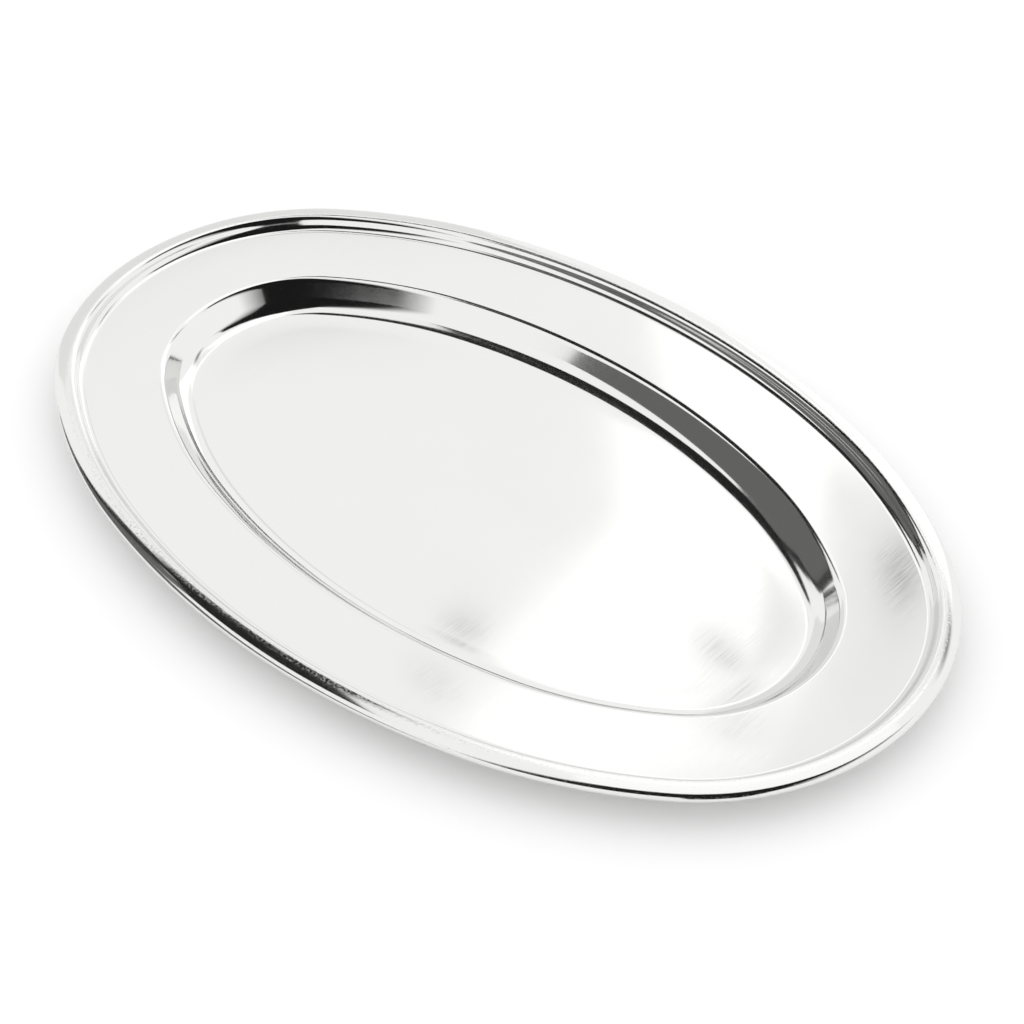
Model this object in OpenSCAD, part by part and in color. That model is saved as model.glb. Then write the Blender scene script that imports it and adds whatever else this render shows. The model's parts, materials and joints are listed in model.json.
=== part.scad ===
// Oval serving tray, pressed from one sheet of stainless steel.
// A flat well, a curved well wall, a wide brim, a raised rim and a rolled edge all belong to the
// same sheet, so the tray is one piece. +Z is up, the length runs along X, and the origin is under
// the middle of the tray on the surface that it stands on. All sizes are in millimetres.

/* [Tray] */
// Length over the rolled edge
tray_l = 450; // [380:1:600]
// Width over the rolled edge
tray_w = 290; // [240:1:380]
// Height from the table to the crest of the rim
tray_h = 19; // [16:0.5:32]
// Thickness of the sheet
sheet_t = 0.7; // [0.5:0.1:1]

/* [Rim] */
// Height of the rim's crest above the brim
rim_rise = 5.5; // [4.5:0.1:8]
// Radius of the crest, along the top of the rim
crest_r = 3.4; // [2:0.1:4]
// Radius of the hollow bend where the rim leaves the brim
crease_r = 4; // [2:0.1:6]
// Radius of the gentle curve from the crest out to the rolled edge
flange_r = 16; // [12:0.5:24]
// Outer radius of the rolled edge
roll_r = 2; // [1.6:0.1:2.5]

/* [Brim and well] */
// Width of the brim, from the rim's bend to the shoulder of the well
brim_w = 32.5; // [20:0.1:45]
// How far the brim falls from the rim to the well
brim_fall = 0.8; // [0:0.1:2]
// Radius of the shoulder where the brim turns down into the well
shoulder_r = 4; // [2:0.1:6]
// Radius of the bend between the well wall and the floor
well_r = 11; // [6:0.1:14]

/* [Hidden] */

// Directions of the bends' ends, as [sine, cosine] of the angle from the vertical. They come from
// right triangles with whole sides, 3-4-5 and 44-117-125, so that tangent points are short numbers.
STEEP = [0.8, 0.6];
RIM_STEEP = [0.936, 0.352];
SLIGHT = [0.352, 0.936];
RING_FACETS = 240;
BEND_FACETS = 64;
REACH = 1000;

// Height kept for the straight wall between the rim's two bends
WALL_KEPT = 0.3;

// Where the floor's disc and the ring of floor round it lap over each other
FLOOR_RING = 10;
FLOOR_LAP = 4;

// The oval has eight arcs. Going from an end to a side, each arc's centre steps back along the
// line that it shares with the arc before, and its radius grows by the same step.
spare = (tray_l - tray_w) / 2;
corner_step = 1.6 * spare;
side_step = 1.5 * spare;
END_RAY = [0.6, 0.8];
SIDE_RAY = [0.28, 0.96];
end_centre = corner_step * END_RAY.x + side_step * SIDE_RAY.x;
end_r = tray_l / 2 - end_centre;
corner_centre = [end_centre, 0] - corner_step * END_RAY;
side_centre = corner_centre - side_step * SIDE_RAY;

// Heights of the sheet's top face
floor_z = sheet_t;
brim_z = tray_h - rim_rise;
shoulder_z = brim_z - brim_fall;

// The rim's two bends. Where the rim is too low for both of them and a little straight wall, each
// is made smaller in proportion, to a tenth of a millimetre.
bends_rise = (1 - RIM_STEEP.y) * (crest_r + crease_r);
rim_fit = min(1, (rim_rise - WALL_KEPT) / bends_rise);
crest_bend = rim_fit == 1 ? crest_r : floor(10 * crest_r * rim_fit) / 10;
crease_bend = rim_fit == 1 ? crease_r : floor(10 * crease_r * rim_fit) / 10;
rim_bends = crest_bend + crease_bend;

// Distances in from the tray's outer edge, and the straight parts of the two sloping walls
crest_in = roll_r + SLIGHT.x * (flange_r - roll_r);
rim_wall = (rim_rise - (1 - RIM_STEEP.y) * rim_bends) / RIM_STEEP.x;
crease_in = crest_in + RIM_STEEP.x * rim_bends + RIM_STEEP.y * rim_wall;
shoulder_in = crease_in + brim_w;
well_wall = (shoulder_z - floor_z - (1 - STEEP.y) * (shoulder_r + well_r)) / STEEP.x;
floor_in = shoulder_in + STEEP.x * (shoulder_r + well_r) + STEEP.y * well_wall;

// Centres of the bends in the section, as [distance in from the edge, height]
crest_c = [crest_in, tray_h - crest_bend];
flange_c = [crest_in, tray_h - flange_r];
roll_c = flange_c + (flange_r - roll_r) * [-SLIGHT.x, SLIGHT.y];
crease_c = [crease_in, brim_z + crease_bend];
shoulder_c = [shoulder_in, shoulder_z - shoulder_r];
well_c = [floor_in, floor_z + well_r];

// Moves a shape by whole millimetres, then by thousandths, then by what is left, so that two
// shapes that meet are placed alike to a millionth of a millimetre
module place(at) {
    whole = [for (v = at) round(v)];
    fine = [for (v = at - whole) round(1000 * v) / 1000];
    translate(whole) translate(fine) translate(at - whole - fine) children();
}

// The wedge between two directions
module wedge(from, to) {
    polygon([[0, 0], REACH * from, REACH * (from + to), REACH * to]);
}

// A ring of the sheet's thickness, outside the given radius
module ring(inner_r) {
    difference() {
        circle(inner_r + sheet_t, $fn = BEND_FACETS);
        circle(inner_r, $fn = BEND_FACETS);
    }
}

// One bend of the sheet, from one direction to another
module bend(centre, inner_r, from, to) {
    place(centre) intersection() {
        ring(inner_r);
        wedge(from, to);
    }
}

// Straight sheet that leaves a bend at its end, a little over half as long as the whole wall. The
// outer face is at the given radius, and the sheet runs down for a hump or up for a hollow.
module half_wall(centre, outer_r, end, wall) {
    run = ceil(6 * wall) / 10 * [end.y, -end.x];
    place(centre) polygon([
        outer_r * end,
        (outer_r - sheet_t) * end,
        (outer_r - sheet_t) * end + run,
        outer_r * end + run
    ]);
}

// The straight wall between a humped bend and a hollow one, as two halves that lap over each other
module slope(hump_c, hump_r, hollow_c, hollow_r, end, wall) {
    half_wall(hump_c, hump_r, end, wall);
    half_wall(hollow_c, hollow_r + sheet_t, -end, wall);
}

// The edge of the sheet, rolled outwards and under through three quarters of a turn
module roll() {
    place(roll_c) difference() {
        ring(roll_r - sheet_t);
        wedge([-SLIGHT.x, SLIGHT.y], [SLIGHT.y, SLIGHT.x]);
    }
}

// The raised rim, from the rolled edge over the crest and down to the brim
module rim() {
    roll();
    bend(flange_c, flange_r - sheet_t, [-SLIGHT.x, SLIGHT.y], [0, 1]);
    bend(crest_c, crest_bend - sheet_t, [0, 1], RIM_STEEP);
    slope(crest_c, crest_bend, crease_c, crease_bend, RIM_STEEP, rim_wall);
    bend(crease_c, crease_bend, -RIM_STEEP, [0, -1]);
}

// The brim, nearly level
module brim() {
    place([crease_in, brim_z]) polygon([
        [0, 0],
        [0, -sheet_t],
        [brim_w, -brim_fall - sheet_t],
        [brim_w, -brim_fall]
    ]);
}

// The well's wall, from the shoulder down to the floor, and the outer ring of the floor
module well_side() {
    bend(shoulder_c, shoulder_r - sheet_t, [0, 1], STEEP);
    slope(shoulder_c, shoulder_r, well_c, well_r, STEEP, well_wall);
    bend(well_c, well_r, -STEEP, [0, -1]);
    place([floor_in, 0]) square([FLOOR_RING, sheet_t]);
}

// A round tray with the same section, whose radius is the end arc's and a step more
module round_tray(step) {
    outer = end_r + step;
    rotate_extrude($fn = RING_FACETS) {
        square([ceil(outer - floor_in - FLOOR_RING) + FLOOR_LAP, sheet_t]);
        place([outer, 0]) mirror([1, 0]) {
            rim();
            brim();
            well_side();
        }
    }
}

// The part of a round tray that lies between two directions from its centre, on the +Y side
module sector(centre, step, from, to) {
    intersection() {
        place([centre.x, centre.y, 0]) round_tray(step);
        translate([0, 0, -tray_h]) linear_extrude(3 * tray_h) intersection() {
            place(centre) wedge(from, to);
            translate([-REACH, 0]) square(2 * REACH);
        }
    }
}

// The +Y half of the tray: a side sector between two corner sectors and two end sectors
module half_tray() {
    sector(side_centre, corner_step + side_step, SIDE_RAY, [-SIDE_RAY.x, SIDE_RAY.y]);
    for (flip = [0, 1]) mirror([flip, 0]) {
        sector(corner_centre, corner_step, END_RAY, SIDE_RAY);
        sector([end_centre, 0], 0, [1, 0], END_RAY);
    }
}

module tray() {
    color("gainsboro") {
        half_tray();
        mirror([0, 1]) half_tray();
    }
}

tray();
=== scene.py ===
"""Oval serving tray, pressed from one sheet of polished stainless steel, on a pale studio floor."""

import json
import math

import bpy
from mathutils import Matrix, Vector, noise


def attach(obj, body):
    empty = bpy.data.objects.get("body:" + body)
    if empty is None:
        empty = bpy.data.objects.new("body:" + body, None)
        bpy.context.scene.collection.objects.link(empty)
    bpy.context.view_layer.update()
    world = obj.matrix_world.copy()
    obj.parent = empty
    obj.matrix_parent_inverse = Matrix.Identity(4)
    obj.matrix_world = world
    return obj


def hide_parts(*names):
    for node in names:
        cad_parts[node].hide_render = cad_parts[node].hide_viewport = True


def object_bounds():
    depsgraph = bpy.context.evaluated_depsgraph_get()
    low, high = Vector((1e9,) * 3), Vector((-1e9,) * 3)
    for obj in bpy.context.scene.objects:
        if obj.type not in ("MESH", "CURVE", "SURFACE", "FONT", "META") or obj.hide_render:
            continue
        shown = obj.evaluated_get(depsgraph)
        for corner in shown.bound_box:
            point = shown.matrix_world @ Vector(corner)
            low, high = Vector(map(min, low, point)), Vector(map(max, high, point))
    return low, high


bl_info = {
    "name": "Oval Serving Tray",
    "version": (1, 0, 0),
    "blender": (4, 5, 0),
    "location": "View3D > Sidebar > Serving Tray",
    "description": "Builds a pressed stainless steel serving tray and a studio to show it in",
    "category": "Add Mesh",
}

NODE = "tray"
MM = 0.001

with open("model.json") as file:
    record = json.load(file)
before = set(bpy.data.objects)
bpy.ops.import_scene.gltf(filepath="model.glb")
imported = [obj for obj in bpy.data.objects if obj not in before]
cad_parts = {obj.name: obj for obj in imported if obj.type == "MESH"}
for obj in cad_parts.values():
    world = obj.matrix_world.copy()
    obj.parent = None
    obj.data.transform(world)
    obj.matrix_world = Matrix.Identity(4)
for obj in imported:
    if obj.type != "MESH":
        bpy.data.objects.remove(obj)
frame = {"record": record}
CAD_LOW, CAD_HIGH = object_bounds()
STEEL = frame["record"]["materials"][0]


# ---------------------------------------------------------------- settings


class TrayShape(bpy.types.PropertyGroup):
    """Sizes of the pressed sheet"""

    length: bpy.props.FloatProperty(
        name="Length",
        description="Length over the rolled edge",
        default=CAD_HIGH.x - CAD_LOW.x,
        unit="LENGTH",
    )
    width: bpy.props.FloatProperty(
        name="Width",
        description="Width over the rolled edge",
        default=CAD_HIGH.y - CAD_LOW.y,
        unit="LENGTH",
    )
    height: bpy.props.FloatProperty(
        name="Height",
        description="Height from the table to the crest of the rim",
        default=CAD_HIGH.z - CAD_LOW.z,
        unit="LENGTH",
    )
    sheet: bpy.props.FloatProperty(
        name="Sheet thickness",
        description="Thickness of the steel sheet",
        default=0.7 * MM,
        unit="LENGTH",
    )
    rim_rise: bpy.props.FloatProperty(
        name="Rim rise",
        description="Height of the rim's crest above the brim",
        default=5.5 * MM,
        unit="LENGTH",
    )
    crest_r: bpy.props.FloatProperty(
        name="Crest radius",
        description="Radius along the top of the rim",
        default=3.4 * MM,
        unit="LENGTH",
    )
    crease_r: bpy.props.FloatProperty(
        name="Crease radius",
        description="Radius of the hollow bend where the rim leaves the brim",
        default=4 * MM,
        unit="LENGTH",
    )
    flange_r: bpy.props.FloatProperty(
        name="Flange radius",
        description="Radius of the gentle curve from the crest out to the rolled edge",
        default=16 * MM,
        unit="LENGTH",
    )
    roll_r: bpy.props.FloatProperty(
        name="Roll radius",
        description="Outer radius of the rolled edge",
        default=2 * MM,
        unit="LENGTH",
    )
    brim_w: bpy.props.FloatProperty(
        name="Brim width",
        description="Width of the brim, from the rim's bend to the shoulder of the well",
        default=32.5 * MM,
        unit="LENGTH",
    )
    brim_fall: bpy.props.FloatProperty(
        name="Brim fall",
        description="How far the brim falls from the rim to the well",
        default=0.8 * MM,
        unit="LENGTH",
    )
    shoulder_r: bpy.props.FloatProperty(
        name="Shoulder radius",
        description="Radius where the brim turns down into the well",
        default=4 * MM,
        unit="LENGTH",
    )
    well_r: bpy.props.FloatProperty(
        name="Well radius",
        description="Radius of the bend between the well wall and the floor",
        default=11 * MM,
        unit="LENGTH",
    )


class TrayFinish(bpy.types.PropertyGroup):
    """Polish of the steel"""

    colour: bpy.props.FloatVectorProperty(
        name="Steel colour",
        description="Colour of the polished steel",
        subtype="COLOR",
        size=3,
        min=0,
        max=1,
        default=STEEL["base_color"][:3],
    )
    roughness: bpy.props.FloatProperty(
        name="Roughness",
        description="Roughness of the polish, before smears and wear",
        default=0.075,
        min=0.02,
        max=0.5,
    )
    line_depth: bpy.props.FloatProperty(
        name="Line depth",
        description="Depth of the lines that the buffing wheel leaves",
        default=0.0004 * MM,
        unit="LENGTH",
    )
    unevenness: bpy.props.FloatProperty(
        name="Unevenness",
        description="How far the pressed floor and brim stray from flat",
        default=0.03 * MM,
        unit="LENGTH",
    )


class StageLook(bpy.types.PropertyGroup):
    """Colours and strengths of the studio"""

    floor_colour: bpy.props.FloatVectorProperty(
        name="Floor colour",
        description="Colour of the studio floor",
        subtype="COLOR",
        size=3,
        min=0,
        max=1,
        default=(0.86, 0.86, 0.86),
    )
    floor_glow: bpy.props.FloatProperty(
        name="Floor glow",
        description="Light from below that softens the shadow under the tray",
        default=0.12,
        min=0,
    )
    soft_light: bpy.props.FloatProperty(
        name="Soft light",
        description="Strength of the white surroundings",
        default=1.1,
        min=0,
    )


# ---------------------------------------------------------------- the section of the sheet

# Directions of the bends' ends, as (sine, cosine) of the angle from the vertical
STEEP = Vector((0.8, 0.6))
RIM_STEEP = Vector((0.936, 0.352))
SLIGHT = Vector((0.352, 0.936))
UP = Vector((0, 1))
DOWN = Vector((0, -1))
OUTWARD = Vector((-SLIGHT.x, SLIGHT.y))

# Steps along the section: the bends from the well out to the flange, the straights between them
# (none between crest and flange) and the three turns of the roll. The top face has twice as many.
BEND_STEPS = (7, 6, 6, 6, 4)
STRAIGHT_STEPS = (4, 9, 3, 0)
ROLL_STEPS = (3, 3, 4)
TOP_FINENESS = 2
UNDER_FINENESS = 1


def arc(centre, radius, start, end, steps):
    """Points along an arc of less than half a turn, from one direction to another"""
    turn = start.angle_signed(end)
    points = []
    for i in range(steps + 1):
        spun = start.copy()
        spun.rotate(Matrix.Rotation(-turn * i / steps, 2))
        points.append(centre + radius * spun)
    return points


def eased(a, b, steps):
    """Points strictly between a and b, closer together near both ends"""
    points = []
    for i in range(1, steps):
        share = 0.5 - 0.5 * math.cos(math.pi * i / steps)
        points.append(a.lerp(b, share))
    return points


def section(t):
    """Closed outline of the sheet as (distance in from the edge, height): the top face from the
    floor out to the end of the roll, then the underside back to the floor. Also how many of the
    points are on the top face and how many on the outside of the roll."""
    brim_z = t.height - t.rim_rise
    shoulder_z = brim_z - t.brim_fall
    rim_bends = t.crest_r + t.crease_r
    rim_wall = (t.rim_rise - (1 - RIM_STEEP.y) * rim_bends) / RIM_STEEP.x
    well_bends = t.shoulder_r + t.well_r
    well_wall = (shoulder_z - t.sheet - (1 - STEEP.y) * well_bends) / STEEP.x
    crest_in = t.roll_r + SLIGHT.x * (t.flange_r - t.roll_r)
    crease_in = crest_in + RIM_STEEP.x * rim_bends + RIM_STEEP.y * rim_wall
    shoulder_in = crease_in + t.brim_w
    floor_in = shoulder_in + STEEP.x * well_bends + STEEP.y * well_wall

    crest = Vector((crest_in, t.height - t.crest_r))
    flange = Vector((crest_in, t.height - t.flange_r))
    roll = flange + (t.flange_r - t.roll_r) * OUTWARD
    crease = Vector((crease_in, brim_z + t.crease_r))
    shoulder = Vector((shoulder_in, shoulder_z - t.shoulder_r))
    well = Vector((floor_in, t.sheet + t.well_r))

    def face(drop, fine):
        """One face of the sheet, from the floor out to the roll, a given depth below the top"""
        bends = (
            (well, t.well_r + drop, DOWN, -STEEP),
            (shoulder, t.shoulder_r - drop, STEEP, UP),
            (crease, t.crease_r + drop, DOWN, -RIM_STEEP),
            (crest, t.crest_r - drop, RIM_STEEP, UP),
            (flange, t.flange_r - drop, UP, OUTWARD),
        )
        legs = [arc(*bend, steps * fine) for bend, steps in zip(bends, BEND_STEPS)]
        run = legs[0]
        for steps, leg in zip(STRAIGHT_STEPS, legs[1:]):
            run += eased(run[-1], leg[0], steps * fine) + leg if steps else leg[1:]
        return run

    def curl(radius, fine):
        """The roll's face, from the flange outwards and under through three quarters of a turn"""
        turns = [OUTWARD, Vector((-1, 0)), DOWN, Vector((SLIGHT.y, SLIGHT.x))]
        run = []
        for start, end, steps in zip(turns, turns[1:], ROLL_STEPS):
            run += arc(roll, radius, start, end, steps * fine)[1:]
        return run

    top = face(0, TOP_FINENESS)
    outside = curl(t.roll_r, TOP_FINENESS)
    inside = curl(t.roll_r - t.sheet, UNDER_FINENESS)
    underside = face(t.sheet, UNDER_FINENESS)
    outline = top + outside + inside[::-1] + underside[::-1]
    return outline, len(top), len(outside)


# ---------------------------------------------------------------- the oval

# The oval has eight arcs. Going from an end to a side, each arc's centre steps back along the
# line that it shares with the arc before, and its radius grows by the same step.
END_RAY = Vector((0.6, 0.8))
SIDE_RAY = Vector((0.28, 0.96))


class Oval:
    """The tray's outline, and every line that runs a fixed distance inside it"""

    def __init__(self, length, width):
        spare = (length - width) / 2
        corner_step, side_step = 1.6 * spare, 1.5 * spare
        end = Vector((corner_step * END_RAY.x + side_step * SIDE_RAY.x, 0))
        corner = end - corner_step * END_RAY
        side = corner - side_step * SIDE_RAY
        end_r = length / 2 - end.x
        turns = [0, math.atan2(*END_RAY.yx), math.atan2(*SIDE_RAY.yx), math.pi / 2]
        radii = [end_r, end_r + corner_step, end_r + corner_step + side_step]
        self.arcs = list(zip(turns, turns[1:], (end, corner, side), radii))

    def arc_at(self, ray):
        """Centre and radius of the arc whose normal points along a direction"""
        turn = math.atan2(abs(ray.y), abs(ray.x))
        centre, radius = next((c, r) for start, stop, c, r in self.arcs if turn <= stop)
        flip = Vector((math.copysign(1, ray.x), math.copysign(1, ray.y)))
        return centre * flip, radius

    def stations(self, per_arc):
        """(arc centre, radius, direction) all the way round, anticlockwise from the +X end"""
        quarter = []
        for (start, stop, centre, radius), count in zip(self.arcs, per_arc):
            for i in range(count):
                turn = start + (stop - start) * i / count
                quarter.append((centre, radius, Vector((math.cos(turn), math.sin(turn)))))
        centre, radius = self.arcs[-1][2:]
        quarter.append((centre, radius, Vector((0, 1))))
        flip = Vector((-1, 1))
        half = quarter + [(c * flip, r, d * flip) for c, r, d in reversed(quarter[:-1])]
        flip = Vector((1, -1))
        return half + [(c * flip, r, d * flip) for c, r, d in reversed(half[1:-1])]


# ---------------------------------------------------------------- the tray's mesh

# Stations on the end, corner and side arc of one quarter of the oval
QUARTER_STATIONS = (44, 34, 42)
FLOOR_RINGS = 14
UNDERSIDE_RINGS = 6

# The brim and floor stray from level in slow waves, which begin a little way in from the rim
WAVES_PER_METRE = 14
WAVE_SLICE = 3
WAVES_FROM = 18 * MM
WAVES_FULL_AFTER = 10 * MM

# The crest is rubbed to this depth, and the resting face partly
RUBBED_DEPTH = 0.2 * MM
RUBBED_SHARE_BELOW = 0.6


def tray_mesh(t, unevenness):
    """The whole sheet as one closed mesh: the section swept round the oval, and both floors"""
    profile, top_count, roll_count = section(t)
    stations = Oval(t.length, t.width).stations(QUARTER_STATIONS)
    count = len(stations)
    verts, faces, rings = [], [], []
    satin, worn = [], []

    def stray(x, y, share):
        """How far the pressed sheet is off level at one place"""
        place = Vector((WAVES_PER_METRE * x, WAVES_PER_METRE * y, WAVE_SLICE))
        return share * unevenness * noise.noise(place)

    for i, (inset, height) in enumerate(profile):
        rings.append(len(verts))
        share = min(1, max(0, (inset - WAVES_FROM) / WAVES_FULL_AFTER)) if i < top_count else 0
        on_crest = height > t.height - RUBBED_DEPTH
        on_roll = top_count <= i < top_count + roll_count // 2
        for centre, radius, ray in stations:
            x, y = centre + (radius - inset) * ray
            verts.append((x, y, height + stray(x, y, share)))
        satin += [0.0 if i < top_count + roll_count else 1.0] * count
        worn += [1.0 if on_crest or on_roll else 0.0] * count

    def join(first, second):
        """Band of faces between two rings"""
        for i in range(count):
            j = (i + 1) % count
            faces.append((first + i, second + i, second + j, first + j))

    for first, second in zip(rings, rings[1:]):
        join(first, second)

    def close(ring, steps, upward):
        """Floor inside one ring, as smaller and smaller ovals round a middle point"""
        edge = [Vector(verts[ring + i]) for i in range(count)]
        level, waves = (t.sheet, 1) if upward else (0, 0)
        before = ring
        for step in range(1, steps):
            share = 1 - step / steps
            first = len(verts)
            for p in edge:
                x, y = p.x * share, p.y * share
                verts.append((x, y, level + stray(x, y, waves)))
            if upward:
                join(first, before)
            else:
                join(before, first)
            before = first
        middle = len(verts)
        verts.append((0, 0, level + stray(0, 0, waves)))
        for i in range(count):
            j = (i + 1) % count
            edge_pair = (before + i, before + j) if upward else (before + j, before + i)
            faces.append((*edge_pair, middle))
        added = len(verts) - len(satin)
        satin.extend([0.0 if upward else 1.0] * added)
        worn.extend([0.0 if upward else RUBBED_SHARE_BELOW] * added)

    close(rings[0], FLOOR_RINGS, True)
    close(rings[-1], UNDERSIDE_RINGS, False)
    mesh = bpy.data.meshes.new("tray_sheet")
    mesh.from_pydata(verts, [], faces)
    for name, levels in (("satin", satin), ("worn", worn)):
        mesh.attributes.new(name, "FLOAT", "POINT").data.foreach_set("value", levels)
    mesh.validate()
    mesh.update()
    mesh.shade_smooth()
    return mesh


# ---------------------------------------------------------------- materials

# Cells of noise per metre along X, Y and Z
BUFFING_LINES = (3200, 45, 3200)
SMEARS = (16, 22, 16)
RUBBED_SPECKS = (900, 900, 900)
MOTTLING = (9, 9, 9)

# What the underside adds to the roughness, and the least roughness anywhere
SATIN = 0.22
BRIGHTEST = 0.03


def spread(material, name, value_from, value_to, out_from, out_to):
    """Map Range node from one span of values to another"""
    node = material.node_tree.nodes.new("ShaderNodeMapRange")
    node.label = name
    for socket, value in zip(
        ("From Min", "From Max", "To Min", "To Max"), (value_from, value_to, out_from, out_to)
    ):
        node.inputs[socket].default_value = value
    return node


def streaks(material, name, per_metre, detail):
    """Noise in the tray's own space, with its own number of cells per metre along each axis"""
    nodes, links = material.node_tree.nodes, material.node_tree.links
    place = nodes.new("ShaderNodeTexCoord")
    stretch = nodes.new("ShaderNodeMapping")
    stretch.inputs["Scale"].default_value = per_metre
    links.new(place.outputs["Object"], stretch.inputs["Vector"])
    grain = nodes.new("ShaderNodeTexNoise")
    grain.label = name
    grain.inputs["Scale"].default_value = 1
    grain.inputs["Detail"].default_value = detail
    links.new(stretch.outputs["Vector"], grain.inputs["Vector"])
    return grain.outputs["Fac"]


def polished_steel(finish):
    """Polished stainless steel: fine lines from the buffing wheel across the tray, faint smears, a
    satin underside and worn high spots"""
    material = bpy.data.materials.new("polished_stainless_steel")
    material.use_nodes = True
    nodes, links = material.node_tree.nodes, material.node_tree.links
    shader = nodes["Principled BSDF"]
    shader.inputs["Metallic"].default_value = 1

    def combine(operation, first, second):
        """Math node on two numbers or sockets"""
        node = nodes.new("ShaderNodeMath")
        node.operation = operation
        for socket, value in zip(node.inputs, (first, second)):
            if isinstance(value, float):
                socket.default_value = value
            else:
                links.new(value, socket)
        return node.outputs[0]

    def level(name):
        """One of the mesh's own marks"""
        node = nodes.new("ShaderNodeAttribute")
        node.attribute_name = name
        return node.outputs["Fac"]

    lines = streaks(material, "buffing lines", BUFFING_LINES, 3)
    smears = streaks(material, "smears", SMEARS, 4)
    specks = streaks(material, "rubbed specks", RUBBED_SPECKS, 2)

    tint = nodes.new("ShaderNodeMix")
    tint.data_type = "RGBA"
    tint.inputs["A"].default_value = (*[c * 0.985 for c in finish.colour], 1)
    tint.inputs["B"].default_value = (*[min(1, c * 1.012) for c in finish.colour], 1)
    links.new(smears, tint.inputs["Factor"])
    links.new(tint.outputs["Result"], shader.inputs["Base Color"])

    cloud = spread(material, "smear roughness", 0.35, 0.7, -0.012, 0.022)
    links.new(smears, cloud.inputs["Value"])
    scored = spread(material, "line roughness", 0.3, 0.7, -0.02, 0.03)
    links.new(lines, scored.inputs["Value"])
    rubbed = spread(material, "worn roughness", 0.45, 0.65, 0.0, 0.16)
    links.new(specks, rubbed.inputs["Value"])
    rough = combine("ADD", cloud.outputs["Result"], scored.outputs["Result"])
    rough = combine("ADD", rough, combine("MULTIPLY", rubbed.outputs["Result"], level("worn")))
    rough = combine("ADD", rough, combine("MULTIPLY", SATIN, level("satin")))
    rough = combine("ADD", rough, finish.roughness)
    links.new(combine("MAXIMUM", rough, BRIGHTEST), shader.inputs["Roughness"])

    bump = nodes.new("ShaderNodeBump")
    bump.inputs["Strength"].default_value = 1
    bump.inputs["Distance"].default_value = finish.line_depth
    links.new(lines, bump.inputs["Height"])
    links.new(bump.outputs["Normal"], shader.inputs["Normal"])
    return material


def floor_paint(look):
    """Matt pale floor, very slightly mottled"""
    material = bpy.data.materials.new("pale_floor")
    material.use_nodes = True
    nodes, links = material.node_tree.nodes, material.node_tree.links
    shader = nodes["Principled BSDF"]
    mottle = streaks(material, "mottling", MOTTLING, 3)
    shade = nodes.new("ShaderNodeMix")
    shade.data_type = "RGBA"
    shade.inputs["A"].default_value = (*[c * 0.99 for c in look.floor_colour], 1)
    shade.inputs["B"].default_value = (*look.floor_colour, 1)
    links.new(mottle, shade.inputs["Factor"])
    links.new(shade.outputs["Result"], shader.inputs["Base Color"])
    shader.inputs["Roughness"].default_value = 0.8
    shader.inputs["Emission Color"].default_value = (1, 1, 1, 1)
    shader.inputs["Emission Strength"].default_value = look.floor_glow
    return material


# ---------------------------------------------------------------- studio

FLOOR_HALF = 6.0
FLOOR_DROP = 0.2 * MM
SPOT_CORNERS = 24
RIM_CARD_STEPS = 6

# Where the camera stands: degrees round from -Y, degrees above the horizon and metres away
EYE_TURN = 42.3
EYE_RISE = 42.8
EYE_DISTANCE = 1.2226
LENS = 97.93
SHIFT = (0.0243, -0.0126)


def towards(azimuth, elevation):
    """Unit vector at so many degrees round from +X and so many above the horizon"""
    turn, rise = math.radians(azimuth), math.radians(elevation)
    return Vector(
        (math.cos(turn) * math.cos(rise), math.sin(turn) * math.cos(rise), math.sin(rise))
    )


def glow(level):
    """Even light, let through where the card's corners are marked as uncovered"""
    material = bpy.data.materials.new("card_glow")
    material.use_nodes = True
    nodes, links = material.node_tree.nodes, material.node_tree.links
    nodes.clear()
    cover = nodes.new("ShaderNodeAttribute")
    cover.attribute_name = "cover"
    clear = nodes.new("ShaderNodeBsdfTransparent")
    shine = nodes.new("ShaderNodeEmission")
    shine.inputs["Strength"].default_value = level
    mix = nodes.new("ShaderNodeMixShader")
    links.new(cover.outputs["Fac"], mix.inputs[0])
    links.new(clear.outputs[0], mix.inputs[1])
    links.new(shine.outputs[0], mix.inputs[2])
    out = nodes.new("ShaderNodeOutputMaterial")
    links.new(mix.outputs[0], out.inputs["Surface"])
    return material


def card(name, level, points, faces, covers):
    """Card hung over the tray and seen only as a reflection in it"""
    mesh = bpy.data.meshes.new(name)
    mesh.from_pydata(points, [], faces)
    marks = mesh.attributes.new("cover", "FLOAT", "POINT")
    for i, cover in enumerate(covers):
        marks.data[i].value = cover
    mesh.materials.append(glow(level))
    panel = bpy.data.objects.new(name, mesh)
    bpy.context.scene.collection.objects.link(panel)
    for ray in ("camera", "diffuse", "transmission", "volume_scatter", "shadow"):
        setattr(panel, "visible_" + ray, False)


def flat_card(name, distance, level, *corners):
    """Card with a sharp outline; a corner is (degrees round from +X, degrees above the horizon)"""
    points = [distance * towards(azimuth, elevation) for azimuth, elevation in corners]
    card(name, level, points, [tuple(range(len(points)))], [1] * len(points))


def fading_card(name, distance, level, full, clear):
    """Strip of card that fades from one edge to the other, both given as rows of corners"""
    points = [distance * towards(*corner) for corner in full + clear]
    count = len(full)
    faces = [(i, i + 1, count + i + 1, count + i) for i in range(count - 1)]
    card(name, level, points, faces, [1] * count + [0] * count)


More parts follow.
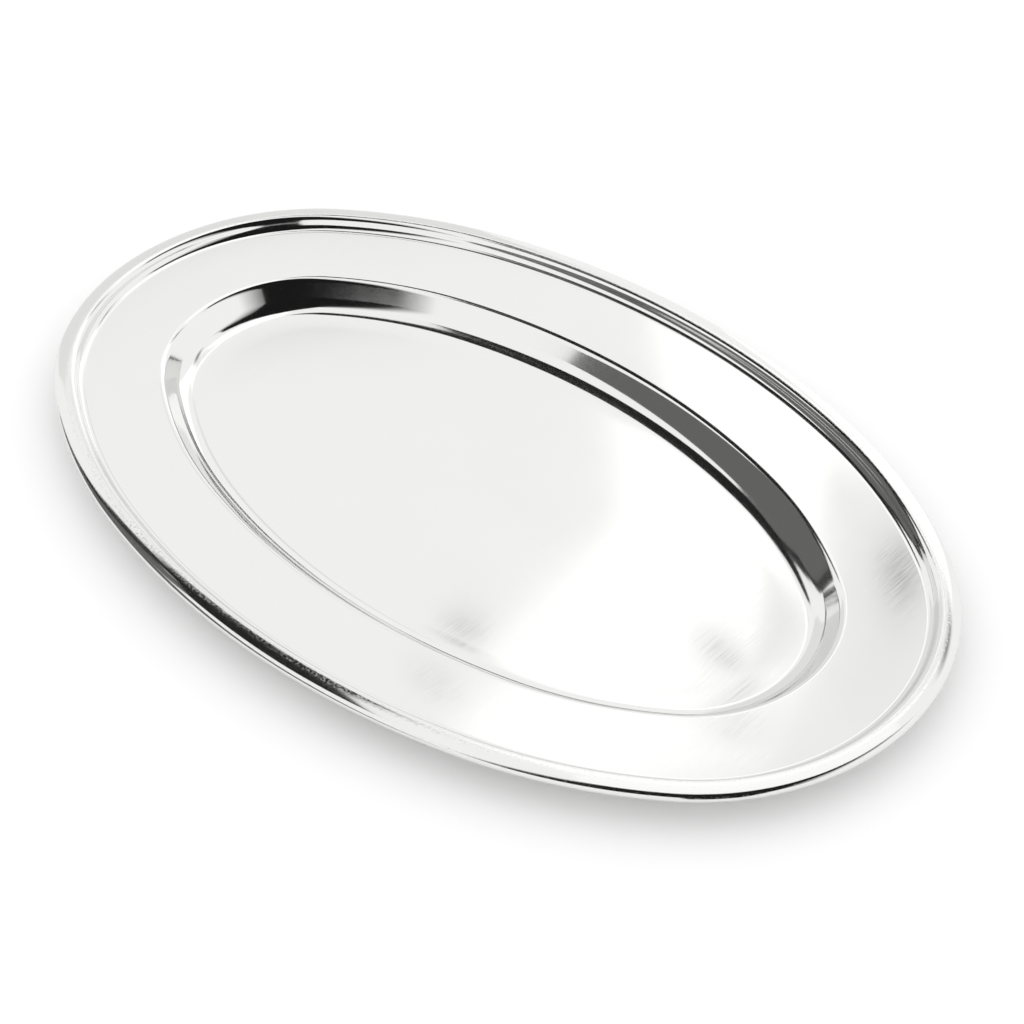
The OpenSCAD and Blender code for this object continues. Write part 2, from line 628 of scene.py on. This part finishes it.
def soft_spot(name, distance, level, azimuth, elevation, half_width, half_height, lean=0):
    """Oval card that fades from its middle to its edge"""
    points = [distance * towards(azimuth, elevation)]
    for i in range(SPOT_CORNERS):
        turn = 2 * math.pi * i / SPOT_CORNERS
        across, up = half_width * math.cos(turn), half_height * math.sin(turn)
        points.append(distance * towards(azimuth + across, elevation + up + lean * across))
    faces = [(0, 1 + i, 1 + (i + 1) % SPOT_CORNERS) for i in range(SPOT_CORNERS)]
    card(name, level, points, faces, [1] + [0] * SPOT_CORNERS)


def rim_card(name, level, shape, eye, turns, leans, distance):
    """Card hung where the rim's outer slope mirrors it to the eye, between two turns round the
    oval and two leans of the sheet"""
    oval = Oval(shape.length, shape.width)
    crest_in = shape.roll_r + SLIGHT.x * (shape.flange_r - shape.roll_r)
    points = []
    for lean in leans:
        tip = math.radians(lean)
        for i in range(RIM_CARD_STEPS + 1):
            turn = math.radians(turns[0] + (turns[1] - turns[0]) * i / RIM_CARD_STEPS)
            ray = Vector((math.cos(turn), math.sin(turn)))
            centre, radius = oval.arc_at(ray)
            place = centre + (radius - crest_in + shape.flange_r * math.sin(tip)) * ray
            drop = shape.flange_r * (1 - math.cos(tip))
            spot = Vector((*place, shape.height - drop))
            facing = Vector((*(ray * math.sin(tip)), math.cos(tip)))
            sight = (spot - eye).normalized()
            points.append(spot + distance * sight.reflect(facing))
    row = RIM_CARD_STEPS + 1
    faces = [(i, i + 1, row + i + 1, row + i) for i in range(RIM_CARD_STEPS)]
    card(name, level, points, faces, [1] * len(points))


def hang_cards(shape, eye):
    """All the white and black cards round the tray; the nearer ones hide those behind them"""
    flat_card("white_side", 3.0, 1.35, (95, -1), (115, -1), (115, 38), (128, 38.5), (127, 43.2),
              (130, 45.6), (133.5, 48), (134, 60), (120, 80), (95, 80))
    flat_card("far_side", 3.1, 0.92, (128, -1), (172, -1), (168, 30), (160, 37), (128, 37))
    flat_card("window_side", 2.1, 1.03, (100, 43), (119.5, 43), (119.5, 48.4), (125, 49.3),
              (127, 50.5), (100, 50.5))
    flat_card("camera_flag", 2.0, 0.012, (-84, 33), (-47, 33), (-45, 4), (-27, 4), (-20, 28),
              (-16, 36), (0, 52), (20, 60), (45, 60), (60, 52), (74, 58), (83, 70), (112, 77),
              (150, 85), (-103, 80), (-88, 60))
    fading_card("camera_flag_right", 2.0, 0.012,
                [(-20, 28), (-16, 36), (0, 52), (20, 60), (45, 60), (60, 52)],
                [(4, 22), (10, 30), (22, 42), (35, 48), (50, 48), (62, 44)])
    fading_card("camera_flag_left", 2.0, 0.012, [(-84, 33), (-88, 60), (-103, 80)],
                [(-93, 31), (-98, 58), (-125, 79)])
    flat_card("grey_flag", 2.02, 0.15, (-88, -1), (-90, 3), (-99, 12), (-112, 25), (-126, 30),
              (-140, 33), (-152, 40), (-165, 50), (180, 55), (180, 46), (-169, 25), (-168, -1))
    flat_card("grey_flag_edge", 2.0, 0.03, (142, 52), (165, 50), (180, 42), (-171, 25), (-170, -1),
              (-163, -1), (-164, 25), (-171, 40), (180, 50), (165, 56), (142, 57))
    flat_card("top_band", 1.0, 0.02, (144, 52), (153.5, 48.5), (168, 48.5), (-161, 50), (-150, 59),
              (-143, 67.5), (-155, 67.5), (175, 65.5), (158, 62.5), (142, 57.5))
    soft_spot("side_dash", 2.0, 0.05, 93, 43, 16, 4)
    soft_spot("brim_spot", 2.0, 0.3, 115.8, 45.2, 1.6, 0.9)
    soft_spot("floor_spot", 2.0, 0.1, 121, 47.3, 2.0, 0.5, -0.3)
    soft_spot("floor_spot_left", 2.0, 0.3, 133.3, 47.0, 1.7, 0.5, -0.15)
    rim_card("right_light", 1.2, shape, eye, (298, 358), (5, 19), 0.12)


# ---------------------------------------------------------------- operators


class TRAY_OT_pressed_sheet(bpy.types.Operator):
    """Makes the tray: one pressed sheet with a rolled edge"""

    bl_idname = "serving_tray.pressed_sheet"
    bl_label = "Pressed Tray"
    bl_options = {"REGISTER", "UNDO"}

    def execute(self, context):
        scene = context.scene
        mesh = tray_mesh(scene.tray_shape, scene.tray_finish.unevenness)
        tray = bpy.data.objects.new("pressed_tray", mesh)
        scene.collection.objects.link(tray)
        tray.data.materials.append(polished_steel(scene.tray_finish))
        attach(tray, "root")
        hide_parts(NODE)
        return {"FINISHED"}


class TRAY_OT_stage(bpy.types.Operator):
    """Makes the studio: floor, white surroundings and camera"""

    bl_idname = "serving_tray.stage"
    bl_label = "Studio Stage"
    bl_options = {"REGISTER", "UNDO"}

    def execute(self, context):
        scene = context.scene
        look = scene.stage_look
        mesh = bpy.data.meshes.new("studio_floor")
        half = FLOOR_HALF
        corners = [(-half, -half), (half, -half), (half, half), (-half, half)]
        mesh.from_pydata([(x, y, -FLOOR_DROP) for x, y in corners], [], [(0, 1, 2, 3)])
        floor = bpy.data.objects.new("studio_floor", mesh)
        scene.collection.objects.link(floor)
        mesh.materials.append(floor_paint(look))

        world = bpy.data.worlds.new("white_surroundings")
        scene.world = world
        world.use_nodes = True
        world.node_tree.nodes["Background"].inputs["Strength"].default_value = look.soft_light
        world.node_tree.nodes["Background"].inputs["Color"].default_value = (1, 1, 1, 1)

        camera = bpy.data.objects.new("studio_camera", bpy.data.cameras.new("studio_camera"))
        scene.collection.objects.link(camera)
        turn, rise = math.radians(EYE_TURN), math.radians(EYE_RISE)
        across = math.cos(rise)
        back = Vector((math.sin(turn) * across, -math.cos(turn) * across, math.sin(rise)))
        camera.location = back * EYE_DISTANCE
        hang_cards(scene.tray_shape, camera.location)
        camera.rotation_euler = (-back).to_track_quat("-Z", "Y").to_euler()
        camera.data.lens = LENS
        camera.data.shift_x, camera.data.shift_y = SHIFT
        camera.data.clip_start = 0.05
        camera.data.clip_end = 50
        scene.camera = camera
        scene.view_settings.view_transform = "Standard"
        return {"FINISHED"}


class TRAY_PT_panel(bpy.types.Panel):
    """Lists the tray's sizes and the steps that build it"""

    bl_label = "Serving Tray"
    bl_idname = "TRAY_PT_panel"
    bl_space_type = "VIEW_3D"
    bl_region_type = "UI"
    bl_category = "Serving Tray"

    def draw(self, context):
        scene = context.scene
        for title, settings in (
            ("Shape", scene.tray_shape),
            ("Finish", scene.tray_finish),
            ("Studio", scene.stage_look),
        ):
            column = self.layout.column(align=True)
            column.label(text=title)
            for name in settings.bl_rna.properties.keys():
                if name not in ("rna_type", "name"):
                    column.prop(settings, name)
        for step in STEPS:
            self.layout.operator(step)


STEPS = ("serving_tray.pressed_sheet", "serving_tray.stage")
CLASSES = (
    TrayShape,
    TrayFinish,
    StageLook,
    TRAY_OT_pressed_sheet,
    TRAY_OT_stage,
    TRAY_PT_panel,
)


def register():
    for cls in CLASSES:
        bpy.utils.register_class(cls)
    bpy.types.Scene.tray_shape = bpy.props.PointerProperty(type=TrayShape)
    bpy.types.Scene.tray_finish = bpy.props.PointerProperty(type=TrayFinish)
    bpy.types.Scene.stage_look = bpy.props.PointerProperty(type=StageLook)


def unregister():
    del bpy.types.Scene.stage_look
    del bpy.types.Scene.tray_finish
    del bpy.types.Scene.tray_shape
    for cls in reversed(CLASSES):
        bpy.utils.unregister_class(cls)


def main():
    register()
    bpy.ops.serving_tray.pressed_sheet()
    bpy.ops.serving_tray.stage()


if __name__ == "__main__":
    main()
